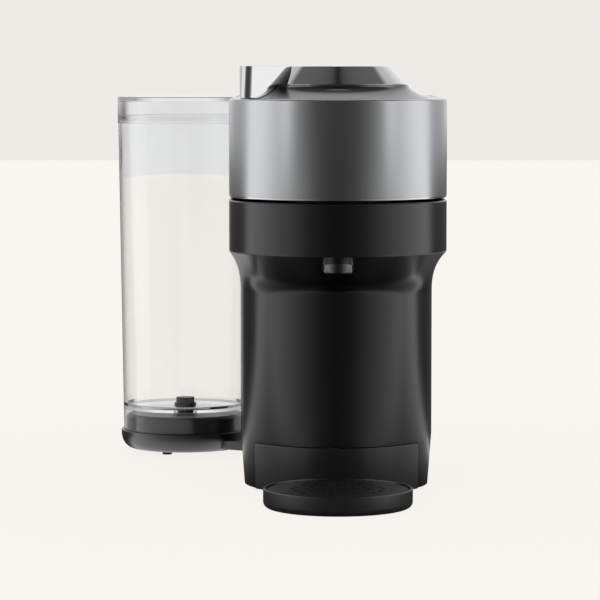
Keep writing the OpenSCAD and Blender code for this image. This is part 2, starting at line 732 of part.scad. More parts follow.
module injection_housing() color([0.18, 0.18, 0.19]) at_capsule() difference() {
  union() {
    translate([0, 0, housing_z]) cylinder(h = 2.4, r = inject_r + 6);
    translate([0, 0, housing_z]) cylinder(h = housing_h, r = housing_r);
  }
  translate([0, 0, housing_z - 1]) cylinder(h = 5, r = housing_r - 3);
  translate([0, 0, housing_z]) cylinder(h = 14, r = bearing_r);
  translate([0, 0, housing_z]) cylinder(h = housing_h - 4, r = 3.5);
}

module injection_bearing() color([0.75, 0.76, 0.78]) at_capsule()
  tube(bearing_r, shaft_r + run, housing_z + 6, housing_z + 13);

module injection_plate() color([0.5, 0.5, 0.52]) at_capsule() difference() {
  union() {
    translate([0, 0, plate_z]) cylinder(h = plate_t, r = inject_r);
    translate([0, 0, plate_z]) cylinder(h = housing_z + 12 - plate_z, r = shaft_r);
  }
  translate([0, 0, plate_z - 1]) cylinder(h = housing_z + 20 - plate_z, r = 2);
}

needle_r = 0.9;
needle_len = 6;
module piercing_needles() color([0.8, 0.81, 0.83]) at_capsule() {
  for (a = [0:18:342]) rotate([0, 0, a]) translate([cup_r - 4, 0, plate_z - 2.5]) cylinder(h = 2.5, r1 = 0.3, r2 = needle_r);
  difference() {
    translate([0, 0, plate_z - needle_len]) cylinder(h = needle_len, r1 = 1.2, r2 = 3);
    translate([0, 0, plate_z - needle_len - 1]) cylinder(h = needle_len + 2, r = 0.7);
  }
}

module capsule_seal() color([0.06, 0.06, 0.06]) at_capsule()
  tube(cup_r + 1.5, cup_r - 1.5, plate_z - 1, plate_z);

module code_reader() color([0.04, 0.04, 0.05]) at_capsule()
  translate([-8, -inject_r - 6 - 14, housing_z]) cube([16, 12, 9]);

module lid_hose() color([0.85, 0.86, 0.88])
  translate([0, head_y + housing_r, hose_exit_z]) rotate([-90, 0, 0])
    cylinder(h = lid_rear - head_wall - head_y - housing_r, r = hose_r);

// ---------------------------------------------------------------- lever, knob and button

module knob_profile() polygon([
  [tower_r + run, collar_top + gap], [knob_base_r, collar_top + gap], [knob_top_r, knob_top],
  [button_r + light_t + 1.5, knob_top], [button_r + light_t + 1.5, knob_top - 2],
  [tower_r + run, tower_top + 0.8]]);

module lock_knob() color([0.80, 0.81, 0.83]) at_capsule() rotate_extrude() knob_profile();

// fan-shaped outline: two sides on lines through the axis, a flat end and round corners
module lever_outline() {
  cx = lever_reach - lever_corner;
  cy = (cx * sin(lever_angle) - lever_corner) / cos(lever_angle);
  tx = cx - lever_corner * sin(lever_angle);
  ty = cy + lever_corner * cos(lever_angle);
  polygon([[0, 0], [-tx, ty], [-cx, cy], [-lever_reach, cy],
    [-lever_reach, -cy], [-cx, -cy], [-tx, -ty]]);
  for (s = [-1, 1]) translate([-cx, s * cy]) circle(lever_corner);
}

module lock_lever() color([0.82, 0.83, 0.85]) at_capsule() difference() {
  slab(lid_top + 2 * gap, knob_top) lever_outline();
  // seat on the knob's cone
  rotate_extrude() polygon([[0, collar_top], [knob_base_r + run, collar_top],
    [knob_base_r + run, collar_top + gap], [knob_top_r + run, knob_top],
    [knob_top_r + run, knob_top + 1], [0, knob_top + 1]]);
  // room over the collar
  rotate_extrude() polygon(concat(
    [[0, lid_top]],
    [for (i = [0:collar_steps]) [collar_r(i / collar_steps) + 2 * gap, lid_top + collar_h * i / collar_steps]],
    [[collar_top_r + 2 * gap, collar_top + gap], [0, collar_top + gap]]));
}

module lock_ring() color([0.55, 0.56, 0.58]) at_capsule() difference() {
  union() {
    tube(sleeve_r, sleeve_r - 2.4, ring_z, collar_top + gap);
    tube(sleeve_r + 8, sleeve_r - 2.4, ring_z, ring_z + 3);
    for (a = [60, 180, 300]) rotate([0, 0, a]) translate([sleeve_r + 7, -7, ring_z]) cube([6, 14, 3]);
  }
}

module button_tower() color([0.12, 0.12, 0.13]) at_capsule() difference() {
  union() {
    translate([0, 0, tower_z]) cylinder(h = tower_top - tower_z, r = housing_r);
    translate([0, 0, collar_top - 6]) cylinder(h = tower_top - collar_top + 6, r = tower_r);
  }
  // well for the spring and the board under the button
  translate([0, 0, tower_top - 8]) cylinder(h = 9, r = button_r - 3);
  // hollow for the wires
  translate([0, 0, tower_z + 3]) cylinder(h = tower_top - tower_z - 14, r = housing_r - 3);
}

button_bottom = tower_top + button_travel + 0.3;
button_top = knob_top - 0.5;
module start_button() color([0.75, 0.76, 0.78]) at_capsule() {
  translate([0, 0, button_bottom]) cylinder(h = button_top - button_bottom - 0.6, r = button_r);
  translate([0, 0, button_top - 0.6]) cylinder(h = 0.6, r1 = button_r, r2 = button_r - 0.6);
}

module button_board() color([0.05, 0.30, 0.12]) at_capsule()
  translate([0, 0, tower_top - 8]) cylinder(h = 1.6, r = button_r - 3 - gap);

module button_spring() color([0.7, 0.7, 0.7]) at_capsule()
  tube(5, 4, tower_top - 6.4, button_bottom);

module button_light() color([0.95, 0.95, 0.92]) at_capsule()
  tube(button_r + light_t + 0.2, button_r + gap, tower_top, knob_top - 0.4);

// ---------------------------------------------------------------- drip base

insert_back = cup_space + insert_depth;
neck_half = 24;
module drip_base() color([0.13, 0.13, 0.14]) difference() {
  union() {
    translate([0, 0, tray_edge]) cylinder(h = tray_h - tray_edge, r = tray_r);
    rotate_extrude() polygon(concat([[0, 0]],
      [for (i = [0:6]) [tray_r - tray_edge + tray_edge * sin(15 * i), tray_edge * (1 - cos(15 * i))]],
      [[0, tray_edge]]));
    // neck between the cup support and the drawer
    translate([-neck_half, tray_r / 2, foot_h]) cube([2 * neck_half, cup_space + 12 - tray_r / 2, tray_h - 0.8 - foot_h]);
    // the drawer that fills the foot of the column
    intersection() {
      front_sweep(col_y, split_y) polygon([
        [0, foot_h], [col_foot_r, foot_h], [col_r, foot_taper], [0, foot_taper]]);
      translate([-insert_half, 0, foot_h]) cube([2 * insert_half, insert_back, insert_h - foot_h]);
    }
  }
  translate([0, 0, tray_wall]) cylinder(h = foot_taper, r = well_r);
  // the bin for waste water
  slab(foot_h + tray_wall, foot_taper) intersection() {
    round_front(col_foot_r - 1.6 * wall, col_y, split_y);
    translate([-insert_half + wall, 0]) square([2 * (insert_half - wall), insert_back - wall]);
  }
}

ring_step = 9.6;
ring_count = 4;
module cup_grid() color([0.11, 0.11, 0.12]) difference() {
  union() {
    translate([0, 0, grid_z]) cylinder(h = grid_t, r = grid_r);
    // legs that stand on the well's floor
    for (a = [45:90:315]) rotate([0, 0, a]) translate([grid_r - 6, 0, tray_wall])
      cylinder(h = grid_z - tray_wall, r = 2.6);
  }
  for (k = [0:ring_count - 1]) for (i = [0:max(0, 6 * k - 1)])
    rotate([0, 0, k == 0 ? 0 : 360 * i / (6 * k)]) translate([k * ring_step, 0, grid_z - 1])
      cylinder(h = grid_t + 2, r = drain_r, $fn = 24);
}

// ---------------------------------------------------------------- tank, arm and dish

// rounded outer profile of the dish, from the flat bottom to the rim
function dish_arc(r, z, corner_r, corner_z) = [for (i = [0:8])
  [r - corner_r + corner_r * sin(11.25 * i), z + corner_z * (1 - cos(11.25 * i))]];
dish_corner_z = 10.2;
dish_wall = 2.8;
module dish_profile() polygon(concat(
  [[0, dish_z]],
  dish_arc(dish_r, dish_z, dish_corner, dish_corner_z),
  [[dish_r, dish_rim_z], [dish_r - dish_wall, dish_rim_z]],
  reversed(dish_arc(dish_r - dish_wall, dish_z + dish_t, dish_corner - dish_wall, dish_corner_z - dish_t)),
  [[0, dish_z + dish_t]]));

module tank_arm() color([0.13, 0.13, 0.14]) difference() {
  union() {
    at_pivot() translate([0, 0, arm_z]) cylinder(h = arm_t, r = post_r + 12);
    at_pivot() rotate([0, 0, swing]) translate([-arm_w / 2, post_r + 2, arm_z])
      cube([arm_w, arm_len - (dish_r - dish_corner) - 0.8 - post_r - 2, arm_t]);
    at_tank() rotate_extrude() dish_profile();
  }
  at_pivot() translate([0, 0, arm_z - 1]) cylinder(h = arm_t + 2, r = post_r + run);
}

foot_offset = 23.6;
module arm_feet() color([0.06, 0.06, 0.06]) at_tank() for (s = [-1, 1])
  translate([s * foot_offset, 0, 0]) cylinder(h = dish_z, r1 = 3.4, r2 = 4);

module tank_plinth() color([0.20, 0.20, 0.21]) at_tank() difference() {
  union() {
    translate([0, 0, dish_z + dish_t]) cylinder(h = plinth_z - dish_z - dish_t, r = dish_r - dish_corner - 1);
    translate([0, 0, plinth_z]) cylinder(h = plinth_top - plinth_z - 2, r = plinth_r);
    translate([0, 0, plinth_top - 2]) cylinder(h = 2, r1 = plinth_r, r2 = plinth_r - 2);
  }
  translate([0, 0, dish_z + dish_t - 1])
    cylinder(h = plinth_top - 2.4 - dish_z - dish_t + 1, r = dish_r - dish_corner - 3.4);
  translate([0, 0, plinth_top - 4]) cylinder(h = 5, r = 3.4);
}

coupling_h = 2.4;
floor_under = tank_floor_z - tank_wall;
module tank_coupling() color([0.06, 0.06, 0.07]) at_tank() {
  tube(9, 3, plinth_top, plinth_top + coupling_h);
  tube(3.4, 2.2, plinth_top - 8, plinth_top);
}

rim_h = 5.4;
module tank_profile() polygon([
  [tank_foot_r - 1.4, dish_rim_z], [tank_foot_r, dish_rim_z], [tank_top_r, tank_rim_z - rim_h],
  [tank_lid_r, tank_rim_z - rim_h], [tank_lid_r, tank_rim_z], [tank_top_r - tank_wall, tank_rim_z],
  [tank_top_r - tank_wall, tank_rim_z - rim_h], [tank_foot_r - tank_wall + 0.3, tank_floor_z + 2],
  [tank_foot_r - tank_wall - 1.4, tank_floor_z], [6, tank_floor_z], [6, floor_under],
  [tank_foot_r - 1.4, floor_under]]);

module water_tank() color([0.85, 0.90, 0.92, 0.35]) at_tank() rotate_extrude() tank_profile();

module tank_valve() color([0.05, 0.05, 0.05]) at_tank() difference() {
  union() {
    translate([0, 0, plinth_top + coupling_h + 0.3])
      cylinder(h = tank_floor_z - plinth_top - coupling_h - 0.3, r = 6);
    translate([0, 0, tank_floor_z]) cylinder(h = 1.4, r = 8);
    translate([0, 0, tank_floor_z + 1.4]) cylinder(h = 4, r = 6.6, $fn = 6);
  }
  translate([0, 0, plinth_top]) cylinder(h = 8, r = 2.4);
}

module valve_seal() color([0.10, 0.10, 0.10]) at_tank() tube(8, 6, floor_under - 0.7, floor_under);

lid_plate_t = 3.4;
module tank_lid() color([0.85, 0.90, 0.92, 0.35]) at_tank() rotate_extrude() polygon([
  [0, tank_rim_z + tank_lid_h - lid_plate_t], [tank_top_r - tank_wall - 2.6, tank_rim_z + tank_lid_h - lid_plate_t],
  [tank_top_r - tank_wall - 2.6, tank_rim_z - rim_h], [tank_top_r - tank_wall - 0.6, tank_rim_z - rim_h],
  [tank_top_r - tank_wall - 0.6, tank_rim_z], [tank_lid_r, tank_rim_z],
  [tank_lid_r, tank_rim_z + tank_lid_h - 0.6], [tank_lid_r - 0.6, tank_rim_z + tank_lid_h],
  [0, tank_rim_z + tank_lid_h]]);

// ---------------------------------------------------------------- the nodes

column_front();
column_rear();
head_band();
rear_cover();
base_plate();
body_feet();
base_screws();
inner_deck();
water_pump();
pump_mounts();
water_heater();
flow_meter();
control_board();
power_board();
water_hoses();
drive_motor();
motor_bracket();
drive_belt();
rotor_bearing();
coffee_collector();
coffee_spout();
hinge_pin();
cord_gland();
lid_shell();
lid_lip();
lid_liner();
lid_collar();
injection_housing();
injection_bearing();
code_reader();
button_tower();
button_light();
button_board();
lid_hose();
lock_knob();
lock_lever();
lock_ring();
start_button();
button_spring();
injection_plate();
piercing_needles();
capsule_seal();
capsule_holder();
rotor_pulley();
motor_pulley();
drip_base();
cup_grid();
tank_arm();
tank_plinth();
tank_coupling();
arm_feet();
water_tank();
tank_valve();
valve_seal();
tank_lid();
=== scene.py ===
"""Looks of a pod coffee machine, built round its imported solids.

Metres. +Z is up and -Y is the front. The origin is on the counter, straight below the outlet.
"""

import math

import bmesh
import bpy
from mathutils import Matrix, Vector


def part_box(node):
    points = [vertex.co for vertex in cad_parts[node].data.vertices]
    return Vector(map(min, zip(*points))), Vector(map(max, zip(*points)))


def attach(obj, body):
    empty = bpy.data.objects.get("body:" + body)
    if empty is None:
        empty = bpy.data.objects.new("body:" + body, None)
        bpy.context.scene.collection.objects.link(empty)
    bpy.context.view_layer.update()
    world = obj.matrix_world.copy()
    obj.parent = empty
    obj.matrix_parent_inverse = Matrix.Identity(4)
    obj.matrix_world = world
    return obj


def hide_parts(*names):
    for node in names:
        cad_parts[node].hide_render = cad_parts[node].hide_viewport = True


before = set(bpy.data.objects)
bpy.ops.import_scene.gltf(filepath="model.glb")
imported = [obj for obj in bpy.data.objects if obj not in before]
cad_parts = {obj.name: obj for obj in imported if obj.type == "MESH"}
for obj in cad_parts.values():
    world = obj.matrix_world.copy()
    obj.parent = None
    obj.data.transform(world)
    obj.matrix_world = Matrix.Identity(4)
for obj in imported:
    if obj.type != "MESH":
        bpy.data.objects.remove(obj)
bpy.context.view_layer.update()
mm = 0.001
weld = 0.000002

# ------------------------------------------------------------------ sizes shared by the pieces

head_r = 70 * mm
head_y = 23 * mm
head_wall = 2.6 * mm
band_z0, band_z1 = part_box("head_band")[0].z, 196.2 * mm
lid_z0, lid_z1 = 197.8 * mm, 261.0 * mm
lid_rear = 104 * mm
hinge_y, hinge_z, knuckle_r, pin_r, web_half = 110 * mm, 255.5 * mm, 5 * mm, 2.5 * mm, 3.5 * mm
lid_spans = ((-48 * mm, -20.3 * mm), (20.3 * mm, 48 * mm))
cover_spans = ((-20 * mm, 20 * mm), (48.3 * mm, 62 * mm), (-62 * mm, -48.3 * mm))
cover_front, cover_step, step_z = 105 * mm, 116 * mm, 248.5 * mm
col_r, col_foot_r, foot_taper = 64.2 * mm, 61.6 * mm, 36 * mm
col_y, split_y, rear_y = 110.2 * mm, 114.2 * mm, 228 * mm
vent_z0, vent_z1, vent_w, vents = 92 * mm, 118 * mm, 3 * mm, 4
flare_z, flare_h, flare_power = 131.5 * mm, 31.5 * mm, 2.2
wall = 2.5 * mm
foot_h = 1.5 * mm
drawer_half, drawer_top, drawer_back, drawer_gap = 54 * mm, 32 * mm, 98 * mm, 0.3 * mm
tray_r, tray_h, tray_edge, tray_wall = 48 * mm, 12.6 * mm, 4 * mm, 2.2 * mm
collar_foot_r, collar_top_r, collar_top = 58.5 * mm, 45 * mm, 269.7 * mm
knob_base_r, knob_top_r, knob_top = 44.6 * mm, 33.5 * mm, 281.7 * mm
lever_reach, lever_angle, lever_corner = 62.5 * mm, math.radians(29.5), 4.9 * mm
swing_deg, slot_spare_deg, slot_top = 57.87, 16.0, 12.8 * mm
swing = math.radians(swing_deg)
arm_len, arm_z, arm_t, arm_w = 127.9 * mm, 5.3 * mm, 6.5 * mm, 30 * mm
tank = (-arm_len * math.sin(swing), rear_y + arm_len * math.cos(swing))

# ------------------------------------------------------------------ shader sums and nodes


class Val:
    """A node's output that Python's operators turn into Math nodes."""

    def __init__(self, tree, socket):
        self.tree = tree
        self.socket = socket

    def _sum(self, operation, *values):
        n = self.tree.nodes.new("ShaderNodeMath")
        n.operation = operation
        for slot, value in zip(n.inputs, values):
            if isinstance(value, Val):
                self.tree.links.new(value.socket, slot)
            else:
                slot.default_value = value
        return Val(self.tree, n.outputs[0])

    def __add__(self, other):
        return self._sum("ADD", self, other)

    def __radd__(self, other):
        return self._sum("ADD", other, self)

    def __sub__(self, other):
        return self._sum("SUBTRACT", self, other)

    def __rsub__(self, other):
        return self._sum("SUBTRACT", other, self)

    def __mul__(self, other):
        return self._sum("MULTIPLY", self, other)

    def __truediv__(self, other):
        return self._sum("DIVIDE", self, other)

    def __pow__(self, other):
        return self._sum("POWER", self, other)

    def max(self, other):
        return self._sum("MAXIMUM", self, other)

    def min(self, other):
        return self._sum("MINIMUM", self, other)

    def clamp(self):
        return self.max(0.0).min(1.0)


class Nodes:
    """A node tree that new nodes are added to by type, settings and inputs."""

    def __init__(self, tree):
        self.tree = tree
        tree.nodes.clear()

    def add(self, kind, settings=None, out=0, **inputs):
        n = self.tree.nodes.new(kind)
        for key, value in (settings or {}).items():
            if key == "stops":
                ramp = n.color_ramp
                while len(ramp.elements) > 1:
                    ramp.elements.remove(ramp.elements[-1])
                ramp.elements[0].position, ramp.elements[0].color = value[0][0], value[0][1]
                for place, colour in value[1:]:
                    ramp.elements.new(place).color = colour
            else:
                setattr(n, key, value)
        for key, value in inputs.items():
            numbered = key[0] == "i" and key[1:].isdigit()
            slot = n.inputs[int(key[1:]) if numbered else key.replace("_", " ")]
            if isinstance(value, Val):
                self.tree.links.new(value.socket, slot)
            else:
                slot.default_value = value
        return Val(self.tree, n.outputs[out])

    def place(self):
        """Object coordinates."""
        return self.add("ShaderNodeTexCoord", out=3)


def grey(level, alpha=1.0):
    return (level, level, level, alpha)


class Finish(Nodes):
    """A material with one Principled shader, whose changing sockets are linked by name."""

    def __init__(self, name, **fixed):
        self.material = bpy.data.materials.new(name)
        self.material.use_nodes = True
        super().__init__(self.material.node_tree)
        self.fixed = fixed

    def done(self, **linked):
        """Add the shader and the output."""
        inputs = dict(self.fixed)
        inputs.update(linked)
        shader = self.add("ShaderNodeBsdfPrincipled", **inputs)
        out = self.tree.nodes.new("ShaderNodeOutputMaterial")
        self.tree.links.new(shader.socket, out.inputs["Surface"])
        return self.material

    def tint(self, dark, light, factor):
        """A colour between two, by a value."""
        return self.add("ShaderNodeMix", {"data_type": "RGBA"}, out=2, i0=factor, i6=dark, i7=light)

    def noise(self, scale, detail=2.0, rough=0.5, stretch=(1, 1, 1)):
        where = self.add("ShaderNodeMapping", Vector=self.place(), Scale=stretch)
        return self.add("ShaderNodeTexNoise", Vector=where, Scale=scale, Detail=detail, Roughness=rough)

    def bump(self, height, strength, distance):
        return self.add("ShaderNodeBump", Height=height, Strength=strength, Distance=distance)


# ------------------------------------------------------------------ finishes


def moulded(name, colour, rough, grain, ior=1.5):
    """Injection-moulded plastic: fine grain in the surface and slight changes in gloss."""
    f = Finish(name, IOR=ior)
    grains = f.noise(900.0, 3.0)
    cloud = f.noise(14.0, 2.0)
    light = tuple(min(1.0, c * 1.25 + 0.002) for c in colour[:3]) + (1.0,)
    return f.done(
        Base_Color=f.tint(colour, light, cloud),
        Roughness=rough + (cloud - 0.5) * 0.06,
        Normal=f.bump(grains, grain, 0.00002),
    )


def brushed(name, colour, rough, direction, depth=0.12):
    """Metal or metallic lacquer with very fine lines along one direction."""
    f = Finish(name, Metallic=1.0)
    lines = f.noise(220.0, 3.0, 0.6, direction)
    cloud = f.noise(9.0, 2.0)
    dark = tuple(c * 0.94 for c in colour[:3]) + (1.0,)
    return f.done(
        Base_Color=f.tint(dark, colour, lines),
        Roughness=rough + (lines - 0.5) * 0.05 + (cloud - 0.5) * 0.03,
        Normal=f.bump(lines, depth, 0.000012),
    )


def lacquer(name, colour, rough):
    """Metallic lacquer: fine flakes in a smooth coat, and a faint cloud in its gloss."""
    f = Finish(name, Metallic=1.0)
    flakes = f.noise(2400.0, 2.0)
    cloud = f.noise(7.0, 2.0)
    dark = tuple(c * 0.955 for c in colour[:3]) + (1.0,)
    return f.done(
        Base_Color=f.tint(dark, colour, flakes),
        Roughness=rough + (flakes - 0.5) * 0.03 + (cloud - 0.5) * 0.02,
        Normal=f.bump(flakes, 0.06, 0.000003),
    )


finishes = {
    "silver": lacquer("silver lacquer", (0.62, 0.63, 0.64, 1), 0.24),
    "lip": brushed("bright lip", (0.80, 0.81, 0.82, 1), 0.12, (1, 1, 0.06), depth=0.02),
    "collar": lacquer("dark collar lacquer", (0.2, 0.2, 0.205, 1), 0.18),
    "chrome": brushed("chrome plating", (0.86, 0.865, 0.87, 1), 0.045, (1, 1, 1), depth=0.01),
    "gloss_black": moulded("gloss black housing", (0.0009, 0.0009, 0.001, 1), 0.23, 0.12, ior=1.8),
    "black": moulded("black plastic", (0.0075, 0.0075, 0.008, 1), 0.34, 0.3),
    "outlet": lacquer("polished outlet", (0.2, 0.2, 0.2, 1), 0.13),
    "tray": moulded("drip base plastic", (0.004, 0.0038, 0.0038, 1), 0.28, 0.2, ior=2.1),
    "plinth": moulded("plinth plastic", (0.022, 0.022, 0.023, 1), 0.3, 0.2, ior=1.7),
    "grey_plastic": moulded("grey plastic", (0.07, 0.07, 0.075, 1), 0.4, 0.3),
    "rubber": moulded("rubber", (0.010, 0.010, 0.010, 1), 0.7, 0.6),
    "white_plastic": moulded("white plastic", (0.75, 0.75, 0.70, 1), 0.42, 0.3),
    "steel": brushed("machined steel", (0.56, 0.56, 0.57, 1), 0.3, (1, 1, 0.05)),
    "alloy": brushed("cast alloy", (0.62, 0.62, 0.63, 1), 0.38, (1, 1, 1)),
}


def clear_plastic():
    """Clear polished plastic of the tank: colourless, with faint moulding waves."""
    f = Finish("clear tank plastic", Transmission_Weight=1.0, IOR=1.45)
    waves = f.noise(11.0, 1.0, 0.4, (1, 1, 0.3))
    return f.done(
        Base_Color=(0.985, 0.99, 0.99, 1),
        Roughness=0.008 + waves * 0.008,
        Normal=f.bump(waves, 0.02, 0.0001),
    )


def cloudy(name, dark, light, rough, scale, through, ior):
    """Milky plastic or silicone that lets some light through."""
    f = Finish(name, Transmission_Weight=through, IOR=ior)
    cloud = f.noise(scale)
    return f.done(Base_Color=f.tint(dark, light, cloud), Roughness=rough + cloud * 0.1)


def circuit_board():
    """Green solder resist with lighter tracks."""
    f = Finish("circuit board")
    cells = f.add("ShaderNodeTexBrick", {"offset": 0.5}, out=1,
                  Vector=f.place(), Scale=260.0, Mortar_Size=0.08)
    return f.done(
        Base_Color=f.tint((0.008, 0.10, 0.035, 1), (0.03, 0.22, 0.08, 1), cells),
        Roughness=0.32 + cells * 0.12,
    )


finishes["clear"] = clear_plastic()
finishes["silicone"] = cloudy("milky silicone", (0.62, 0.62, 0.58, 1), (0.78, 0.78, 0.74, 1), 0.35, 60.0, 0.25, 1.41)
finishes["board"] = circuit_board()
finishes["light"] = cloudy("frosted light ring", (0.80, 0.80, 0.78, 1), (0.92, 0.92, 0.90, 1), 0.45, 300.0, 0.3, 1.45)

# ------------------------------------------------------------------ shapes made by moving a section


def points_of(geom):
    return [g for g in geom if isinstance(g, bmesh.types.BMVert)]


def moved(bm, geom, by):
    """Move the points of some geometry."""
    bmesh.ops.translate(bm, verts=points_of(geom), vec=by)


def section(bm, points):
    """A closed chain of edges through points, ready to be swept."""
    verts = [bm.verts.new(p) for p in points]
    edges = [bm.edges.new(pair) for pair in zip(verts, verts[1:] + verts[:1])]
    return verts + edges


def spun(bm, geom, centre, angle, steps):
    """Turn a section about an upright line, and give back its last place."""
    made = bmesh.ops.spin(bm, geom=geom, cent=(centre[0], centre[1], 0), axis=(0, 0, 1),
                          angle=angle, steps=steps, use_merge=False)
    return made["geom_last"]


def drawn(bm, geom, by):
    """Extrude edges by a straight move, and give back the new edges."""
    edges = [g for g in geom if isinstance(g, bmesh.types.BMEdge)]
    made = bmesh.ops.extrude_edge_only(bm, edges=edges)["geom"]
    moved(bm, made, by)
    return [g for g in made if not isinstance(g, bmesh.types.BMFace)]


def closed_up(bm, fill=True):
    """Join what meets, close open ends, and turn the faces outwards."""
    bmesh.ops.remove_doubles(bm, verts=bm.verts, dist=weld)
    if fill:
        open_edges = [e for e in bm.edges if len(e.link_faces) == 1]
        if open_edges:
            bmesh.ops.holes_fill(bm, edges=open_edges, sides=0)
    loose = [e for e in bm.edges if not e.link_faces]
    bmesh.ops.delete(bm, geom=loose, context="EDGES")
    bmesh.ops.recalc_face_normals(bm, faces=bm.faces)
    return bm


def arc(r, z, corner, corner_z):
    """Section of a round foot: from the floor at height z out to radius r, corner wide and corner_z high."""
    turns = [math.radians(7.5 * i) for i in range(13)]
    return [(r - corner + corner * math.sin(turn), z + corner_z * (1 - math.cos(turn))) for turn in turns]


def turned(points, centre=(0.0, 0.0), steps=128):
    """A section of (radius, height) turned fully about an upright line."""
    bm = bmesh.new()
    geom = section(bm, [(centre[0] + r, centre[1], z) for r, z in points])
    spun(bm, geom, centre, 2 * math.pi, steps)
    return closed_up(bm)


def u_shape(points, y0, y1, front=True, steps=72):
    """A section swept straight, round the front about y0 or round the rear about y1, and back again."""
    bm = bmesh.new()
    open_end, round_end = (y1, y0) if front else (y0, y1)
    geom = section(bm, [(r, open_end, z) for r, z in points])
    geom = drawn(bm, geom, (0, round_end - open_end, 0))
    geom = spun(bm, geom, (0, round_end), -math.pi if front else math.pi, steps)
    drawn(bm, geom, (0, open_end - round_end, 0))
    return closed_up(bm)


def stadium(points, y0, y1, steps=72):
    """A section swept all the way round a long ring with two round ends."""
    bm = bmesh.new()
    geom = section(bm, [(r, y1, z) for r, z in points])
    geom = drawn(bm, geom, (0, y0 - y1, 0))
    geom = spun(bm, geom, (0, y0), -math.pi, steps)
    geom = drawn(bm, geom, (0, y1 - y0, 0))
    spun(bm, geom, (0, y1), -math.pi, steps)
    return closed_up(bm)


def outline(bm, r, y0, y1, z, front=True, steps=72):
    """Edges of a flat plan with one round end."""
    a, b = (y1, y0) if front else (y0, y1)
    start = [bm.verts.new((r, a, z))]
    made = bmesh.ops.extrude_vert_indiv(bm, verts=start)
    far = made["verts"]
    bmesh.ops.translate(bm, verts=far, vec=(0, b - a, 0))
    tip = points_of(spun(bm, far, (0, b), -math.pi if front else math.pi, steps))
    made = bmesh.ops.extrude_vert_indiv(bm, verts=tip)
    bmesh.ops.translate(bm, verts=made["verts"], vec=(0, a - b, 0))
    return made["verts"][0], start[0]


def plan_solid(r, y0, y1, z0, z1, front=True):
    """A flat plan with one round end, drawn up to a height."""
    bm = bmesh.new()
    a, b = outline(bm, r, y0, y1, z0, front)
    bm.edges.new((a, b))
    face = bmesh.ops.contextual_create(bm, geom=bm.edges[:])["faces"]
    top = bmesh.ops.extrude_face_region(bm, geom=face)["geom"]
    moved(bm, top, (0, 0, z1 - z0))
    bmesh.ops.recalc_face_normals(bm, faces=bm.faces)
    return bm


def block(x0, x1, y0, y1, z0, z1):
    """A box between two corners."""
    bm = bmesh.new()
    middle = Matrix.Translation(((x0 + x1) / 2, (y0 + y1) / 2, (z0 + z1) / 2))
    bmesh.ops.create_cube(bm, size=1.0, matrix=middle @ Matrix.Diagonal((x1 - x0, y1 - y0, z1 - z0, 1)))
    return bm


def rod(x0, x1, y, z, r, hole=0.0, steps=40):
    """A round bar along X, bored through if hole is given."""
    bm = bmesh.new()
    ring = [(x0, y + r, z), (x1, y + r, z), (x1, y + hole, z), (x0, y + hole, z)]
    bmesh.ops.spin(bm, geom=section(bm, ring), cent=(0, y, z), axis=(1, 0, 0), angle=2 * math.pi, steps=steps)
    return closed_up(bm)


def together(*parts):
    """One bmesh that holds several."""
    whole = bmesh.new()
    for part in parts:
        mesh = bpy.data.meshes.new("part")
        part.to_mesh(mesh)
        part.free()
        whole.from_mesh(mesh)
        bpy.data.meshes.remove(mesh)
    return whole


def cut(bm, co, normal, keep=None):
    """Cut the mesh along a plane; keep="below" or "above" drops the other side."""
    bmesh.ops.bisect_plane(bm, geom=bm.verts[:] + bm.edges[:] + bm.faces[:], dist=0.0000005, plane_co=co,
                           plane_no=normal, clear_outer=keep == "below", clear_inner=keep == "above")


def drop(bm, inside):
    """Delete the faces whose middle passes a test."""
    bmesh.ops.delete(bm, geom=[f for f in bm.faces if inside(f.calc_center_median())], context="FACES")


def piece(name, bm, body, finish, replaces=(), bevel=0.0004, segments=3, shell=0.0, angle=30.0):
    """Make an object of a bmesh, smooth it, round its edges and hand it to its body."""
    mesh = bpy.data.meshes.new(name)
    for face in bm.faces:
        face.smooth = True
    for edge in bm.edges:
        edge.smooth = len(edge.link_faces) != 2 or edge.calc_face_angle(0.0) < math.radians(angle)
    bm.to_mesh(mesh)
    bm.free()
    obj = bpy.data.objects.new(name, mesh)
    bpy.context.collection.objects.link(obj)
    if shell:
        thick = obj.modifiers.new("wall", "SOLIDIFY")
        thick.thickness, thick.offset, thick.use_even_offset = shell, -1.0, True
    if bevel:
        soft = obj.modifiers.new("edges", "BEVEL")
        soft.width, soft.segments, soft.limit_method = bevel, segments, "ANGLE"
        soft.angle_limit, soft.harden_normals = math.radians(angle), True
        soft.use_clamp_overlap = True
    mesh.materials.append(finishes[finish])
    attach(obj, body)
    if replaces:
        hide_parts(*replaces)
    return obj


# ------------------------------------------------------------------ column with its flare


def opened(z):
    """How far the column has opened to the head: 0 below the flare, 1 at its top."""
    return min(1.0, max(0.0, (z - flare_z) / flare_h)) ** flare_power


def column_shape(p):
    """Move a point of a straight wall onto the tapered and flared one."""
    k = opened(p.z)
    if p.z < foot_taper:
        r = col_foot_r + (col_r - col_foot_r) * (p.z - foot_h) / (foot_taper - foot_h)
    else:
        r = col_r + (head_r - col_r) * k
    centre = col_y + (head_y - col_y) * k
    s = r / col_r
    if p.y <= col_y + 1e-7:
        p.y = centre + (p.y - col_y) * s
    elif p.y < split_y + 1e-7:
        p.y = centre + (p.y - col_y) * (split_y - centre) / (split_y - col_y)
    elif p.y > rear_y:
        p.y = rear_y + (p.y - rear_y) * s
    p.x *= s


levels = [foot_h, foot_taper] + [flare_z + flare_h * i / 28 for i in range(29)]


def raised_wall(bm):
    """Draw a wire plan up through every level."""
    ring = bm.edges[:]
    for low, high in zip(levels, levels[1:]):
        ring = drawn(bm, ring, (0, 0, high - low))


